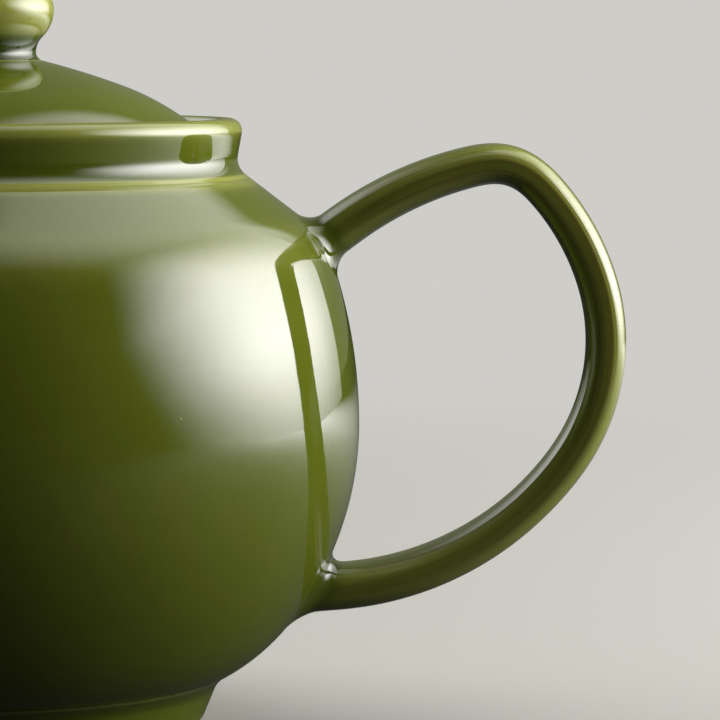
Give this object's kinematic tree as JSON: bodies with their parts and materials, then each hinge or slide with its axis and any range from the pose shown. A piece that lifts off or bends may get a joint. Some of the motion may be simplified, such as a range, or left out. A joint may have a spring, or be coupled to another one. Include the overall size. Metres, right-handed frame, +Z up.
{
  "type": "teapot",
  "caption": "Glazed globe teapot with a curved spout, a loop handle, a flared collar and a lift-off domed lid with a knob.",
  "frame": {"origin": "on the pot's axis, at the foot ring's lowest face, which is the surface the pot stands on", "axes": "+X from the pot's axis towards the handle, with the spout towards -X; +Z up along the pot's axis"},
  "size_m": [0.2486, 0.146, 0.1429],
  "materials": {
    "glaze": "gloss",
    "foot": "gloss, with a bare ring to stand on",
    "bare_clay": "matt"
  },
  "bodies": {
    "pot": {"globe": "glaze", "collar": "glaze", "foot_ring": "foot", "spout": "glaze", "handle": "glaze"},
    "lid": {"lid": "glaze", "lid_flange": "bare_clay", "lid_lug": "bare_clay", "knob": "glaze"}
  },
  "joints": [
    {"name": "lid_lift", "type": "slide", "parent": "pot", "child": "lid", "axis": [0, 0, 1], "range_m": [0, 0.06]}
  ]
}
